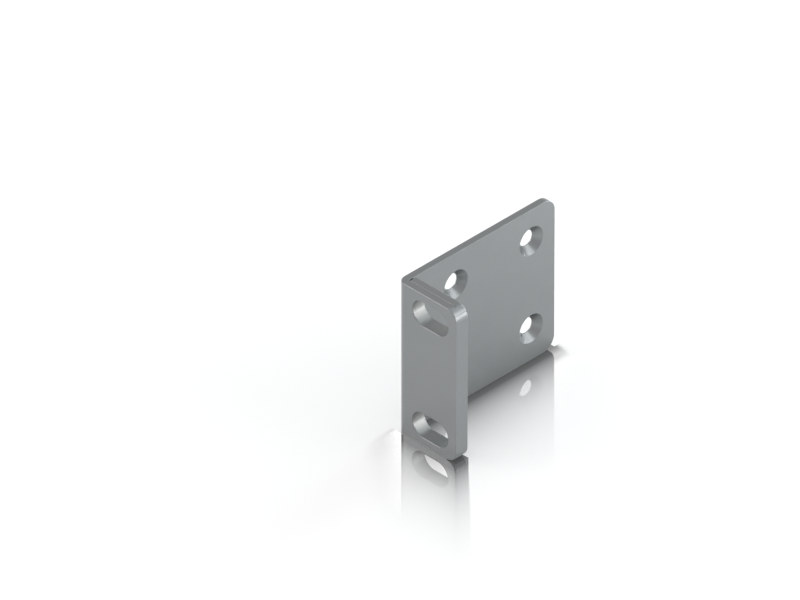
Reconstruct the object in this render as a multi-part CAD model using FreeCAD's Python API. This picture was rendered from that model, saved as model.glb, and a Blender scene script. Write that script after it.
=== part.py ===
import math
import os

import FreeCAD
import Part

# Rack mount ear bracket, folded from one sheet of steel, in millimetres.
#
# The side plate is screwed flat against the side of a piece of equipment. The sheet then turns
# through one square bend to make the ear, which lies against the front of the rack's post. The
# ear is two sheets thick: its outer end is folded back on itself and pressed flat, so the second
# layer ends just short of the side plate.
#
# While the bracket is worked out, the equipment face of the side plate is X = 0, the front face
# of the ear is Y = 0 and the lower edges are Z = 0. X runs across the rack, away from the
# equipment, Y runs backwards along the equipment's side, and Z is up. At the end the bracket is
# moved so that the middle of its footprint stands at the origin.

# Sheet and bends
sheet_thickness = 2.0
bend_inner_radius = 0.4
layer_setback = 0.05

# Edges: rounded on the side of the sheet that the punch goes into, barely broken on the other
punched_edge_radius = 0.25
broken_edge_radius = 0.05

# Outline
bracket_height = 43.0
side_length = 50.2
ear_width = 19.4
side_corner_radius = 3.7
ear_corner_radius = 3.0

# Slots for the rack's screws, punched from the front and deburred at the back
slot_spacing = 31.75
slot_length = 11.7
slot_width = 6.8
slot_from_free_edge = 8.5
slot_back_chamfer = 0.1

# Countersunk holes for the equipment's screws
hole_diameter = 4.2
hole_land = 0.2
countersink_angle = 90.0
hole_spacing_along = 25.0
hole_spacing_up = 25.0
hole_from_far_end = 7.75

# Seam between the ear's two layers
seam_depth = 0.12

# How far a cutting tool stands out of the sheet
tool_overrun = 1.0

# Sizes that follow from the ones above
bend_outer_radius = bend_inner_radius + sheet_thickness
ear_thickness = 2 * sheet_thickness
layer_end = sheet_thickness + bend_inner_radius + layer_setback
middle_height = bracket_height / 2
slot_wall = (bracket_height - slot_spacing - slot_width) / 2
punched_rounding = min(punched_edge_radius, slot_wall / 3)
broken_rounding = min(broken_edge_radius, slot_wall / 3)

# How near a face or an edge has to be to the place it is looked for
TOLERANCE = 1e-4


def vector(x, y, z=0.0):
    return FreeCAD.Vector(x, y, z)


def line(start, end):
    return Part.LineSegment(start, end).toShape()


def bend_arc(radius, start, end):
    """Quarter circle of the square bend, about the bend's own centre."""
    centre = bend_outer_radius
    middle = centre - radius * math.cos(math.radians(45))
    return Part.Arc(start, vector(middle, middle), end).toShape()


def folded_sheet():
    """The section of the folded sheet, seen from above, drawn up to the full height."""
    far = side_length
    outer = bend_outer_radius
    sheet = sheet_thickness
    section = Part.Wire([
        line(vector(0, far), vector(0, outer)),
        bend_arc(outer, vector(0, outer), vector(outer, 0)),
        line(vector(outer, 0), vector(ear_width, 0)),
        line(vector(ear_width, 0), vector(ear_width, ear_thickness)),
        line(vector(ear_width, ear_thickness), vector(layer_end, ear_thickness)),
        line(vector(layer_end, ear_thickness), vector(layer_end, sheet)),
        line(vector(layer_end, sheet), vector(outer, sheet)),
        bend_arc(bend_inner_radius, vector(outer, sheet), vector(sheet, outer)),
        line(vector(sheet, outer), vector(sheet, far)),
        line(vector(sheet, far), vector(0, far)),
    ])
    return Part.Face(section).extrude(vector(0, 0, bracket_height))


def is_at(value, target):
    return abs(value - target) < TOLERANCE


def edges_across(solid, x=None, y=None):
    """Top and bottom edges that cross the sheet at one X or at one Y."""
    found = []
    for edge in solid.Edges:
        box = edge.BoundBox
        level = is_at(box.ZMin, box.ZMax)
        at_end = level and (is_at(box.ZMin, 0) or is_at(box.ZMax, bracket_height))
        at_x = x is None or (is_at(box.XMin, x) and is_at(box.XMax, x))
        at_y = y is None or (is_at(box.YMin, y) and is_at(box.YMax, y))
        if at_end and at_x and at_y:
            found.append(edge)
    return found


def round_outline_corners(solid):
    """The side plate's far corners and the ear's free corners."""
    solid = solid.makeFillet(side_corner_radius, edges_across(solid, y=side_length))
    return solid.makeFillet(ear_corner_radius, edges_across(solid, x=ear_width))


def skin_rim(faces):
    """Edges that belong to only one of the faces: the rim of the skin that they make together."""
    rim = []
    for face in faces:
        for edge in face.Edges:
            shared = any(edge.isSame(other) for item in faces if item is not face for other in item.Edges)
            if not shared:
                rim.append(edge)
    return rim


def lies_in_plane(face, axis, value):
    box = face.BoundBox
    low = getattr(box, axis + "Min")
    high = getattr(box, axis + "Max")
    return is_at(low, value) and is_at(high, value)


def is_bend(face, radius):
    surface = face.Surface
    if not isinstance(surface, Part.Cylinder):
        return False
    return is_at(surface.Radius, radius) and is_at(abs(surface.Axis.z), 1)


def round_sheet_edges(solid):
    """The outer skin runs from the equipment face round the ear's free end to the ear's back."""
    ear_back = [face for face in solid.Faces if lies_in_plane(face, "Y", ear_thickness)]
    front_skin = []
    for face in solid.Faces:
        in_front = lies_in_plane(face, "X", 0) or lies_in_plane(face, "Y", 0)
        if in_front or is_bend(face, bend_outer_radius):
            front_skin.append(face)
    rims = skin_rim(front_skin) + skin_rim(ear_back)
    solid = solid.makeFillet(punched_rounding, rims)
    side_skin = [face for face in solid.Faces if lies_in_plane(face, "X", sheet_thickness)]
    inner_bend_line = vector(sheet_thickness, bend_outer_radius, middle_height)
    rims = []
    for edge in skin_rim(side_skin):
        if edge.CenterOfMass.distanceToPoint(inner_bend_line) > TOLERANCE:
            rims.append(edge)
    return solid.makeFillet(broken_rounding, rims)


def slot_cutter(centre_height):
    """One long hole with round ends, through both layers of the ear."""
    end_radius = slot_width / 2
    straight = slot_length / 2 - end_radius
    centre = ear_width - slot_from_free_edge
    left = centre - straight
    right = centre + straight
    low = centre_height - end_radius
    high = centre_height + end_radius
    front = -tool_overrun
    right_end = vector(right + end_radius, front, centre_height)
    left_end = vector(left - end_radius, front, centre_height)
    outline = Part.Wire([
        line(vector(left, front, low), vector(right, front, low)),
        Part.Arc(vector(right, front, low), right_end, vector(right, front, high)).toShape(),
        line(vector(right, front, high), vector(left, front, high)),
        Part.Arc(vector(left, front, high), left_end, vector(left, front, low)).toShape(),
    ])
    return Part.Face(outline).extrude(vector(0, ear_thickness + 2 * tool_overrun, 0))


def cut_slots(solid):
    for side in (-1, 1):
        solid = solid.cut(slot_cutter(middle_height + side * slot_spacing / 2))
    return solid


def slot_mouths(solid, depth):
    """Edges round the slots in the face of the ear that lies at one Y."""
    found = []
    for face in solid.Faces:
        if lies_in_plane(face, "Y", depth):
            for wire in face.Wires:
                if not wire.isSame(face.OuterWire):
                    found.extend(wire.Edges)
    return found


def finish_slot_rims(solid):
    """Rounded where the punch goes in, with a light chamfer where it comes out."""
    solid = solid.makeFillet(punched_rounding, slot_mouths(solid, 0))
    chamfer = min(slot_back_chamfer, slot_wall / 3)
    return solid.makeChamfer(chamfer, slot_mouths(solid, ear_thickness))


def hole_cutter(along, height):
    """A through hole with its countersink in the face that looks away from the equipment."""
    axis = vector(1, 0, 0)
    radius = hole_diameter / 2
    spread = math.tan(math.radians(countersink_angle / 2))
    start = vector(-tool_overrun, along, height)
    through = Part.makeCylinder(radius, sheet_thickness + 2 * tool_overrun, start, axis)
    cone_start = vector(hole_land, along, height)
    cone_length = sheet_thickness - hole_land + tool_overrun
    mouth = Part.makeCone(radius, radius + cone_length * spread, cone_length, cone_start, axis)
    return through.fuse(mouth)


def cut_screw_holes(solid):
    far_row = side_length - hole_from_far_end
    for along in (far_row - hole_spacing_along, far_row):
        for side in (-1, 1):
            solid = solid.cut(hole_cutter(along, middle_height + side * hole_spacing_up / 2))
    return solid


def seam_profile(x, z, outwards):
    """The groove's section across the seam: a square-cornered V, open to the outside."""
    half_mouth = seam_depth + tool_overrun
    bottom = vector(x, sheet_thickness, z - outwards * seam_depth)
    front = vector(x, sheet_thickness - half_mouth, z + outwards * tool_overrun)
    back = vector(x, sheet_thickness + half_mouth, z + outwards * tool_overrun)
    return Part.Face(Part.Wire([line(bottom, front), line(front, back), line(back, bottom)]))


def cut_seam(solid):
    """The line where the ear's layers meet, as far as the fold at the ear's free end closes it."""
    corner = ear_width - ear_corner_radius
    fold_line = ear_width - sheet_thickness
    run = min(corner, fold_line) - layer_end
    for edge_height, outwards in ((bracket_height, 1), (0, -1)):
        groove = seam_profile(layer_end, edge_height, outwards).extrude(vector(run, 0, 0))
        if fold_line > corner:
            turn = math.degrees(math.asin((fold_line - corner) / ear_corner_radius))
            centre = vector(corner, sheet_thickness, edge_height - outwards * ear_corner_radius)
            profile = seam_profile(corner, edge_height, outwards)
            groove = groove.fuse(profile.revolve(centre, vector(0, outwards, 0), turn))
        solid = solid.cut(groove)
    return solid


def build_bracket():
    bracket = folded_sheet()
    bracket = round_outline_corners(bracket)
    bracket = round_sheet_edges(bracket)
    bracket = cut_slots(bracket)
    bracket = finish_slot_rims(bracket)
    bracket = cut_screw_holes(bracket)
    bracket = cut_seam(bracket)
    bracket.translate(vector(-ear_width / 2, -side_length / 2, 0))
    return bracket


os.makedirs("parts", exist_ok=True)
ear_bracket = build_bracket()
print("solids", len(ear_bracket.Solids), "valid", ear_bracket.isValid())
print("volume", round(ear_bracket.Volume, 1))
ear_bracket.Solids[0].exportStep("parts/ear_bracket.step")
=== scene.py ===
import math

import bpy
from mathutils import Matrix, Vector


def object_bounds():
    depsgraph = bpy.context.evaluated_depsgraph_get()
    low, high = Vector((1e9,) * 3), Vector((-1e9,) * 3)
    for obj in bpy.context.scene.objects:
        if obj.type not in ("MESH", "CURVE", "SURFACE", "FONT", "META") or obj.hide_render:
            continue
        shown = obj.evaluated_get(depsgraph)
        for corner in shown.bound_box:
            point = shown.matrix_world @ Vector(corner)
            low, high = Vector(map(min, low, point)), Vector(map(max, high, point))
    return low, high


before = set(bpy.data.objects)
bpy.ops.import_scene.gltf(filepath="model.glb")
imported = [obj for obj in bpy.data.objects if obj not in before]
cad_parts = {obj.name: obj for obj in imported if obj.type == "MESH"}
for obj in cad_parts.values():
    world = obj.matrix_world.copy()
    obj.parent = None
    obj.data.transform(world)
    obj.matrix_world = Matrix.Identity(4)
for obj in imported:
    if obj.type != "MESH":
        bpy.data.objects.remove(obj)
cad_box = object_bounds()

MM = 0.001
IMAGE_WIDTH = 800
IMAGE_HEIGHT = 600

# Places and sizes on the bracket
MIDDLE_HEIGHT = 21.5 * MM
SIDE_OUTER = -7.7 * MM
EAR_BACK = -21.1 * MM
EAR_THICKNESS = 4.0 * MM
EAR_CORNER_RADIUS = 3.0 * MM
SEAM = -23.1 * MM
HALF_SEAM = 0.2 * MM
HOLES_MIDDLE = 4.85 * MM
HALF_HOLE_SPACING = 12.5 * MM
COUNTERSINK_RADIUS = 3.9 * MM
SLOT_ACROSS = 1.2 * MM
LOWER_SLOT_HEIGHT = 5.625 * MM
HALF_SLOT_SPACING = 15.875 * MM
SLOT_RADIUS = 3.4 * MM
SLOT_HALF_STRAIGHT = 2.45 * MM
# What the rounded bend leaves free of a square corner, at 45 degrees
BEND_CLEARANCE = 1.4 * MM
# How far past an edge a region on the bracket still counts
MARGIN = 0.05 * MM

# Camera
CAMERA_AZIMUTH = 44.993
CAMERA_ELEVATION = 35.086
CAMERA_DISTANCE = 5.7013
PIXELS_PER_MM = 4.2793
SENSOR_WIDTH = 36.0
# The ear's front lower corner by the bend, and where it stands in the image
CORNER = Vector((-9.7, -25.1, 0.0)) * MM
CORNER_PIXEL = (397.0, 430.51)

# Steel
PLATED_DARK = (0.246, 0.254, 0.259, 1.0)
PLATED_LIGHT = (0.286, 0.296, 0.301, 1.0)
# The slots' bare punched walls, painted a little lighter: painted light that lifts the shade in the
# slots
PUNCHED_STEEL_LIGHTENED = (0.295, 0.294, 0.293, 1.0)
# Painted shade for the seam, which dims its highlight
SEAM_PAINTED_SHADE = (0.13, 0.135, 0.137, 1.0)
STEEL_ROUGHNESS = 0.285
STEEL_RELIEF = 0.003 * MM
# Features per metre of each pattern, along X, Y and Z
CLOUDS = (140.0, 140.0, 140.0)
MOTTLE = (1300.0, 1300.0, 1300.0)
ROLLING_MARKS = (45.0, 45.0, 2600.0)
EAR_MARKS = (2400.0, 160.0, 2400.0)
SIDE_MARKS = (160.0, 2400.0, 2400.0)
# A cut edge's normal has less than this across the sheet, and the seam's flanks have more than this
CUT_SLOPE = 0.3
SEAM_SLOPE = 0.4
# A countersink's normal has 0.7 along X
CONE_SLOPES = (0.6, 0.8)
CONE_SLOPE_SOFT = 0.03
RING_SPACING = 0.28 * MM
# How far from an edge the painted highlight reaches, and how fully
EDGE_HIGHLIGHT_WIDTH = 0.3 * MM
EDGE_HIGHLIGHT_GAIN = 4.0

# The floor mirrors the bracket fully up to here, and fades by a factor of e over the next length
FULL_REFLECTION = 1.8 * MM
REFLECTION_FADE = 9.0 * MM
STRONGEST_REFLECTION = 0.92
# What is left of the reflection for rays that don't come from the camera
REFLECTION_ELSEWHERE = 0.4
# How softly the reflection ends at the ear's free edge, at the bracket's sides and at its ends
SOFT_EDGE = 0.4 * MM
EDGE_SPREAD = 0.1
SOFT_SIDE = 14.0 * MM
SOFT_END = 2.0 * MM
# The gloss is dark at the side plate's foot, a painted contact shadow, pale in front of the ear, and
# between them elsewhere
SHADOW_GLOSS = (0.05, 0.05, 0.05, 1.0)
PALE_GLOSS = (0.26, 0.26, 0.26, 1.0)
SIDE_PALENESS = 0.45
SIDE_FOOT_SHADOW = (-0.3 * MM, 3.0 * MM)
GLOSS_ROUGHNESS = 0.02
# A painted lighter line in which the ear's front stands: less gloss there lifts the shade at its
# foot
EAR_FOOT_LIGHT_LINE = (-0.15 * MM, 2.0 * MM)
EAR_FOOT_SOFT = 0.2 * MM
EAR_FOOT_LIGHTENING = 0.28
FLOOR_WHITE = (0.93, 0.93, 0.93, 1.0)
FLOOR_HALF_SIZE = 3.0
# How much of the floor's white is its own
OWN_WHITE = 0.5

# Light
WORLD_LEVEL = 0.72
WHITE = (1.0, 1.0, 1.0)
COOL = (0.83, 1.0, 1.04)
SLIGHTLY_COOL = (0.94, 1.0, 1.0)
WARM = (1.02, 1.0, 0.99)

NEAREST = (0.08, 0.04)
NEAR = (0.14, 0.055)
LOW = (0.28, 0.19)
MIDDLE = (0.34, 0.30)
HIGH = (0.40, 0.36)
CARD = (0.25, 0.25)

# Name, azimuth, elevation, distance, size, strength and colour
SOFT_BOXES = [
    ("low_right", 20.0, 7.0, 0.8, LOW, 10.2, WHITE),
    ("nearest_right", 60.0, 7.0, 0.18, NEAREST, 10.9, SLIGHTLY_COOL),
    ("near_back", 100.0, 6.0, 0.3, NEAR, 6.5, SLIGHTLY_COOL),
    ("right", 30.0, 33.0, 0.8, MIDDLE, 2.35, SLIGHTLY_COOL),
    ("right_back", 60.0, 33.0, 0.8, MIDDLE, 1.4, WHITE),
    ("back", 90.0, 33.0, 0.8, MIDDLE, 5.9, COOL),
    ("left_front", 225.0, 33.0, 0.8, MIDDLE, 3.5, WARM),
    ("high_front", 270.0, 58.0, 0.8, HIGH, 1.3, WHITE),
    ("card", 135.0, 35.0, 10.0, CARD, 3.4, WHITE),
]


def view_axes(azimuth, elevation):
    """Right, up and back directions of a camera; azimuth 0 looks along +Y."""
    a = math.radians(azimuth)
    e = math.radians(elevation)
    right = Vector((math.cos(a), math.sin(a), 0.0))
    up = Vector((-math.sin(a) * math.sin(e), math.cos(a) * math.sin(e), math.cos(e)))
    back = Vector((math.sin(a) * math.cos(e), -math.cos(a) * math.cos(e), math.sin(e)))
    return right, up, back


def add_camera():
    right, up, back = view_axes(CAMERA_AZIMUTH, CAMERA_ELEVATION)
    across = (IMAGE_WIDTH / 2 - CORNER_PIXEL[0]) / PIXELS_PER_MM * MM
    above = (CORNER_PIXEL[1] - IMAGE_HEIGHT / 2) / PIXELS_PER_MM * MM
    target = CORNER + right * across + up * above
    data = bpy.data.cameras.new("camera")
    data.sensor_width = SENSOR_WIDTH
    data.lens = PIXELS_PER_MM / MM * CAMERA_DISTANCE * data.sensor_width / IMAGE_WIDTH
    data.clip_start = 0.1
    data.clip_end = 50.0
    camera = bpy.data.objects.new("camera", data)
    bpy.context.scene.collection.objects.link(camera)
    turn = Matrix((right, up, back)).transposed()
    camera.matrix_world = Matrix.Translation(target + back * CAMERA_DISTANCE) @ turn.to_4x4()
    bpy.context.scene.camera = camera


def direction_to(azimuth, elevation):
    """Unit vector; azimuth is counted from +X towards +Y."""
    a = math.radians(azimuth)
    e = math.radians(elevation)
    return Vector((math.cos(a) * math.cos(e), math.sin(a) * math.cos(e), math.sin(e)))


def add_soft_box(name, azimuth, elevation, distance, size, strength, colour):
    """An area lamp that faces the bracket; strength is the brightness of its surface."""
    place = direction_to(azimuth, elevation) * distance
    data = bpy.data.lights.new(name, "AREA")
    data.shape = "RECTANGLE"
    data.size, data.size_y = size
    data.energy = strength * size[0] * size[1] * math.pi
    data.color = colour
    lamp = bpy.data.objects.new(name, data)
    lamp.location = place
    lamp.rotation_mode = "QUATERNION"
    lamp.rotation_quaternion = place.to_track_quat("Z", "Y")
    lamp.visible_camera = False
    bpy.context.scene.collection.objects.link(lamp)


class Graph:
    """The nodes of one material. An input is given as a plain value or as another node's socket."""

    def __init__(self, name):
        self.material = bpy.data.materials.new(name)
        self.material.use_nodes = True
        self.nodes = self.material.node_tree.nodes
        self.links = self.material.node_tree.links
        self.nodes.clear()

    def node(self, kind, inputs, **settings):
        node = self.nodes.new(kind)
        for name, value in settings.items():
            setattr(node, name, value)
        for name, value in inputs.items():
            if isinstance(value, bpy.types.NodeSocket):
                self.links.new(value, node.inputs[name])
            else:
                node.inputs[name].default_value = value
        return node

    def math(self, operation, *values):
        return self.node("ShaderNodeMath", dict(enumerate(values)), operation=operation).outputs[0]

    def product(self, first, *others):
        for other in others:
            first = self.math("MULTIPLY", first, other)
        return first

    def highest(self, first, *others):
        for other in others:
            first = self.math("MAXIMUM", first, other)
        return first

    def weighted(self, total, *terms):
        """The total plus each value times its weight."""
        for value, weight in terms:
            total = self.math("MULTIPLY_ADD", value, weight, total)
        return total

    def minus(self, value, other):
        return self.math("SUBTRACT", value, other)

    def above(self, value, limit):
        return self.math("GREATER_THAN", value, limit)

    def below(self, value, limit):
        return self.math("LESS_THAN", value, limit)

    def inside(self, value, low, high):
        return self.product(self.above(value, low), self.below(value, high))

    def between(self, value, low, high, soft):
        """One where the value lies between two limits, and a soft step down to nothing outside."""
        rise = self.node("ShaderNodeMapRange", {
            "Value": value, "From Min": low - soft, "From Max": low + soft})
        fall = self.node("ShaderNodeMapRange", {
            "Value": value, "From Min": high - soft, "From Max": high + soft,
            "To Min": 1.0, "To Max": 0.0})
        return self.product(rise.outputs[0], fall.outputs[0])

    def ramp(self, value, start, end):
        """Nothing up to the start, one from the end on, with a soft step between them."""
        inputs = {"Value": value, "From Min": start, "From Max": end}
        return self.node("ShaderNodeMapRange", inputs, interpolation_type="SMOOTHSTEP").outputs[0]

    def blend(self, factor, first, second):
        """From the first number to the second; the node takes them as its inputs 2 and 3."""
        inputs = {"Factor": factor, 2: first, 3: second}
        return self.node("ShaderNodeMix", inputs, data_type="FLOAT").outputs[0]

    def blend_colours(self, factor, first, second):
        """From the first colour to the second; the node takes them as its inputs 6 and 7."""
        inputs = {"Factor": factor, 6: first, 7: second}
        return self.node("ShaderNodeMix", inputs, data_type="RGBA").outputs[2]

    def vector_math(self, operation, *values):
        inputs = dict(enumerate(values))
        return self.node("ShaderNodeVectorMath", inputs, operation=operation).outputs["Vector"]

    def length(self, vector):
        return self.node("ShaderNodeVectorMath", {0: vector}, operation="LENGTH").outputs["Value"]

    def dot(self, first, second):
        inputs = {0: first, 1: second}
        return self.node("ShaderNodeVectorMath", inputs, operation="DOT_PRODUCT").outputs["Value"]

    def split(self, vector):
        parts = self.node("ShaderNodeSeparateXYZ", {"Vector": vector}).outputs
        return parts["X"], parts["Y"], parts["Z"]

    def noise(self, place, per_metre, detail, seed):
        """Values about 0.5, with so many features per metre."""
        moved = self.vector_math("MULTIPLY_ADD", place, per_metre, (seed, seed, seed))
        inputs = {"Vector": moved, "Scale": 1.0, "Detail": detail, "Roughness": 0.55}
        return self.node("ShaderNodeTexNoise", inputs).outputs["Fac"]


def slot_walls(g, x, z):
    """One at places that lie on or in one of the ear's slots."""
    from_middle = g.math("ABSOLUTE", g.minus(z, MIDDLE_HEIGHT))
    from_slot = g.math("ABSOLUTE", g.minus(from_middle, HALF_SLOT_SPACING))
    beside_slot = g.math("ABSOLUTE", g.minus(x, SLOT_ACROSS))
    in_height = g.below(from_slot, SLOT_RADIUS + MARGIN)
    in_width = g.below(beside_slot, SLOT_RADIUS + SLOT_HALF_STRAIGHT + MARGIN)
    return g.product(in_height, in_width)


def countersink_rings(g, place, slope_x):
    """Fine rings left by the tool in the countersinks, as heights."""
    from_middle = g.vector_math("ABSOLUTE", g.vector_math(
        "SUBTRACT", place, (0.0, HOLES_MIDDLE, MIDDLE_HEIGHT)))
    from_hole = g.vector_math("MULTIPLY", g.vector_math(
        "SUBTRACT", from_middle, (0.0, HALF_HOLE_SPACING, HALF_HOLE_SPACING)), (0.0, 1.0, 1.0))
    reach = g.length(from_hole)
    cone = g.between(slope_x, *CONE_SLOPES, CONE_SLOPE_SOFT)
    turned = g.product(cone, g.below(reach, COUNTERSINK_RADIUS + 2.0 * MARGIN))
    rings = g.math("SINE", g.product(reach, 2.0 * math.pi / RING_SPACING))
    return g.product(rings, turned)


def steel_material():
    """Satin plated sheet steel: rolled faces, punched edges and turned countersinks."""
    g = Graph("satin_steel")
    place = g.node("ShaderNodeTexCoord", {}).outputs["Object"]
    normal = g.node("ShaderNodeNewGeometry", {}).outputs["Normal"]
    x, y, z = g.split(place)
    slope_x, slope_y, _ = g.split(g.vector_math("ABSOLUTE", normal))

    # Plating: soft clouds a few millimetres wide, with a finer mottle in them
    clouds = g.noise(place, CLOUDS, detail=3.0, seed=3.0)
    mottle = g.noise(place, MOTTLE, detail=3.0, seed=11.0)
    # Rolling marks along the sheet, which runs level round the bend
    rolling = g.noise(place, ROLLING_MARKS, detail=2.0, seed=7.0)

    # The ear is cut along Y and the side plate along X, and so run the marks in their cut edges
    on_ear = g.below(y, EAR_BACK)
    ear_cut = g.product(on_ear, g.below(slope_y, CUT_SLOPE))
    side_cut = g.product(g.minus(1.0, on_ear), g.below(slope_x, CUT_SLOPE))
    cut = g.highest(ear_cut, side_cut)
    ear_marks = g.product(g.noise(place, EAR_MARKS, detail=2.0, seed=5.0), ear_cut)
    side_marks = g.product(g.noise(place, SIDE_MARKS, detail=2.0, seed=9.0), side_cut)
    cut_marks = g.math("ADD", ear_marks, side_marks)
    # The punched walls of the slots are bare, painted a little lighter as painted light that lifts
    # the shade in the slots, and rougher than the sheared outline
    punched = g.product(slot_walls(g, x, z), ear_cut)
    rings = countersink_rings(g, place, slope_x)

    # Edges are painted a little brighter, a painted highlight, and made a little smoother
    rounded = g.node("ShaderNodeBevel", {"Radius": EDGE_HIGHLIGHT_WIDTH}, samples=6).outputs["Normal"]
    turn = g.minus(1.0, g.dot(rounded, normal))
    edge_highlight = g.math("MINIMUM", g.product(turn, EDGE_HIGHLIGHT_GAIN), 1.0)

    # The seam is painted dark, a painted shade that dims its highlight, and made dull
    seam = g.between(y, SEAM - HALF_SEAM, SEAM + HALF_SEAM, 0.1 * HALF_SEAM)
    seam = g.product(seam, g.above(slope_y, SEAM_SLOPE))

    tone = g.weighted(0.0, (mottle, 0.25), (clouds, 0.45), (rolling, 0.3), (edge_highlight, 0.5))
    colour = g.blend_colours(tone, PLATED_DARK, PLATED_LIGHT)
    colour = g.blend_colours(punched, colour, PUNCHED_STEEL_LIGHTENED)
    colour = g.blend_colours(seam, colour, SEAM_PAINTED_SHADE)

    rough = g.weighted(
        STEEL_ROUGHNESS, (mottle, 0.06), (rolling, 0.03), (cut, 0.02), (punched, 0.07), (edge_highlight, -0.05),
        (seam, 0.08))
    height = g.weighted(0.0, (rolling, 0.5), (mottle, 0.5), (cut_marks, 2.0), (rings, 0.5))
    bump = g.node("ShaderNodeBump", {"Height": height, "Strength": 1.0, "Distance": STEEL_RELIEF})

    shader = g.node("ShaderNodeBsdfPrincipled", {
        "Base Color": colour, "Metallic": 1.0, "Roughness": rough, "Normal": bump.outputs["Normal"]})
    g.node("ShaderNodeOutputMaterial", {"Surface": shader.outputs["BSDF"]})
    return g.material


def fade(g, reach):
    """How much is mirrored on the floor, by how far it lies in front of the mirrored face."""
    beyond = g.highest(g.minus(reach, FULL_REFLECTION), 0.0)
    return g.math("EXPONENT", g.product(beyond, -1.0 / REFLECTION_FADE))


def in_lower_slot(g, across, height):
    """Whether a place on the ear lies in the lower slot."""
    beside = g.minus(g.math("ABSOLUTE", g.minus(across, SLOT_ACROSS)), SLOT_HALF_STRAIGHT)
    above = g.minus(height, LOWER_SLOT_HEIGHT)
    from_middle = g.node("ShaderNodeCombineXYZ", {0: g.highest(beside, 0.0), 1: above}).outputs[0]
    return g.below(g.length(from_middle), SLOT_RADIUS)


def floor_reflection_and_shadow(g):
    """How much of the bracket the floor mirrors at each place, and how pale the gloss is there; its
    dark tint is a painted shadow at the bracket's foot.

    The faces are mirrored towards the right front, at 45 degrees to both plates.
    """
    x, y, _ = g.split(g.node("ShaderNodeNewGeometry", {}).outputs["Position"])
    (left, front, _), (right, back, _) = cad_box
    from_side = g.minus(x, SIDE_OUTER)
    from_end = g.minus(x, right)
    from_front = g.minus(front, y)
    along = g.math("ADD", x, y)
    far_line = SIDE_OUTER + back
    near_line = left + front + BEND_CLEARANCE
    free_line = right + EAR_BACK

    on_side = g.product(
        g.above(from_side, 0.0),
        g.above(along, SIDE_OUTER + EAR_BACK),
        g.ramp(along, far_line + SOFT_SIDE, far_line),
        g.ramp(y, back + SOFT_END, back))

    # Through the lower slot the side plate is mirrored, and it lies further off
    across = g.minus(x, from_front)
    slot_front = in_lower_slot(g, across, from_front)
    slot_back = in_lower_slot(
        g, g.minus(across, EAR_THICKNESS), g.math("ADD", from_front, EAR_THICKNESS))
    through = g.product(slot_front, slot_back)

    free_edge = g.weighted(free_line + SOFT_EDGE, (g.highest(from_front, 0.0), EDGE_SPREAD))
    on_ear = g.product(
        g.ramp(along, near_line - SOFT_SIDE, near_line),
        g.ramp(along, free_edge, free_line),
        g.ramp(x, left - SOFT_END, left),
        g.highest(g.above(from_front, 0.0), g.above(from_end, 0.0)),
        g.minus(1.0, through))
    from_ear = g.blend(g.above(along, right + front), from_front, from_end)

    # Close under the bracket's rounded edges
    under_side = g.product(g.inside(x, left, SIDE_OUTER), g.inside(y, front, back))
    under_ear = g.product(g.inside(x, left, right), g.inside(y, front, EAR_BACK))
    under = g.product(g.highest(under_side, under_ear), g.above(along, near_line))

    share = g.highest(
        g.product(g.highest(on_side, through), fade(g, from_side)),
        g.product(on_ear, fade(g, from_ear)),
        under)
    # Painted light: less gloss along the ear's front foot makes a lighter line there
    foot_back, foot_front = EAR_FOOT_LIGHT_LINE
    foot = g.product(
        g.between(y, front + foot_back, front + foot_front, EAR_FOOT_SOFT),
        g.below(x, right - EAR_CORNER_RADIUS))
    share = g.product(share, STRONGEST_REFLECTION, g.weighted(1.0, (foot, -EAR_FOOT_LIGHTENING)))

    # Past the side plate's far end a small dark shade is left at its foot
    past_end = g.product(g.above(along, far_line), g.ramp(from_side, SOFT_END, 3.0 * SOFT_END))
    pale = g.highest(
        on_ear,
        past_end,
        g.ramp(along, far_line, far_line + 0.5 * SOFT_SIDE),
        g.product(g.ramp(from_side, *SIDE_FOOT_SHADOW), SIDE_PALENESS))
    return share, pale


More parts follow.
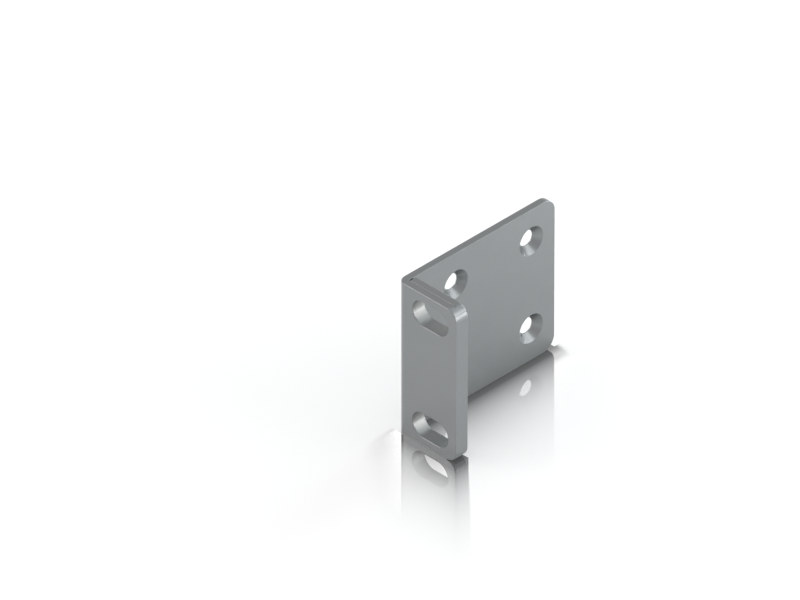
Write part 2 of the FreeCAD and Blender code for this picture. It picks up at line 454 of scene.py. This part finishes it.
def floor_material():
    """White, and glossy in front of the bracket, where its reflection fades into the white; the
    gloss is dark, so around the bracket's foot it is also a painted shadow.
    """
    g = Graph("floor")
    share, pale = floor_reflection_and_shadow(g)
    path = g.node("ShaderNodeLightPath", {}).outputs
    share = g.product(share, g.weighted(
        REFLECTION_ELSEWHERE, (path["Is Camera Ray"], 1.0 - REFLECTION_ELSEWHERE)))

    # Part of the white is the backdrop's own, so that the shadow stays light
    seen = g.highest(path["Is Camera Ray"], path["Is Glossy Ray"], path["Is Transmission Ray"])
    white = g.node("ShaderNodeBsdfDiffuse", {"Color": FLOOR_WHITE})
    bright = g.node("ShaderNodeEmission", {"Color": (1.0, 1.0, 1.0, 1.0), "Strength": 1.0})
    plain = g.node("ShaderNodeMixShader", {
        "Fac": g.product(seen, OWN_WHITE), 1: white.outputs[0], 2: bright.outputs[0]})

    # The gloss's tint is painted shadow, darkest at the side plate's foot
    tint = g.blend_colours(pale, SHADOW_GLOSS, PALE_GLOSS)
    gloss = g.node("ShaderNodeBsdfGlossy", {"Color": tint, "Roughness": GLOSS_ROUGHNESS})
    mix = g.node("ShaderNodeMixShader", {"Fac": share, 1: plain.outputs[0], 2: gloss.outputs[0]})
    g.node("ShaderNodeOutputMaterial", {"Surface": mix.outputs[0]})
    return g.material


def add_floor():
    half = FLOOR_HALF_SIZE
    corners = [(-half, -half, 0.0), (half, -half, 0.0), (half, half, 0.0), (-half, half, 0.0)]
    mesh = bpy.data.meshes.new("floor")
    mesh.from_pydata(corners, [], [(0, 1, 2, 3)])
    mesh.materials.append(floor_material())
    floor = bpy.data.objects.new("floor", mesh)
    bpy.context.scene.collection.objects.link(floor)


def set_world():
    world = bpy.data.worlds.new("studio")
    bpy.context.scene.world = world
    world.use_nodes = True
    background = world.node_tree.nodes["Background"]
    background.inputs["Color"].default_value = (1.0, 1.0, 1.0, 1.0)
    background.inputs["Strength"].default_value = WORLD_LEVEL


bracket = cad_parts["ear_bracket"]
steel = steel_material()
for slot in bracket.material_slots:
    slot.material = steel

set_world()
add_floor()
for soft_box in SOFT_BOXES:
    add_soft_box(*soft_box)
add_camera()
bpy.context.scene.view_settings.view_transform = "Standard"
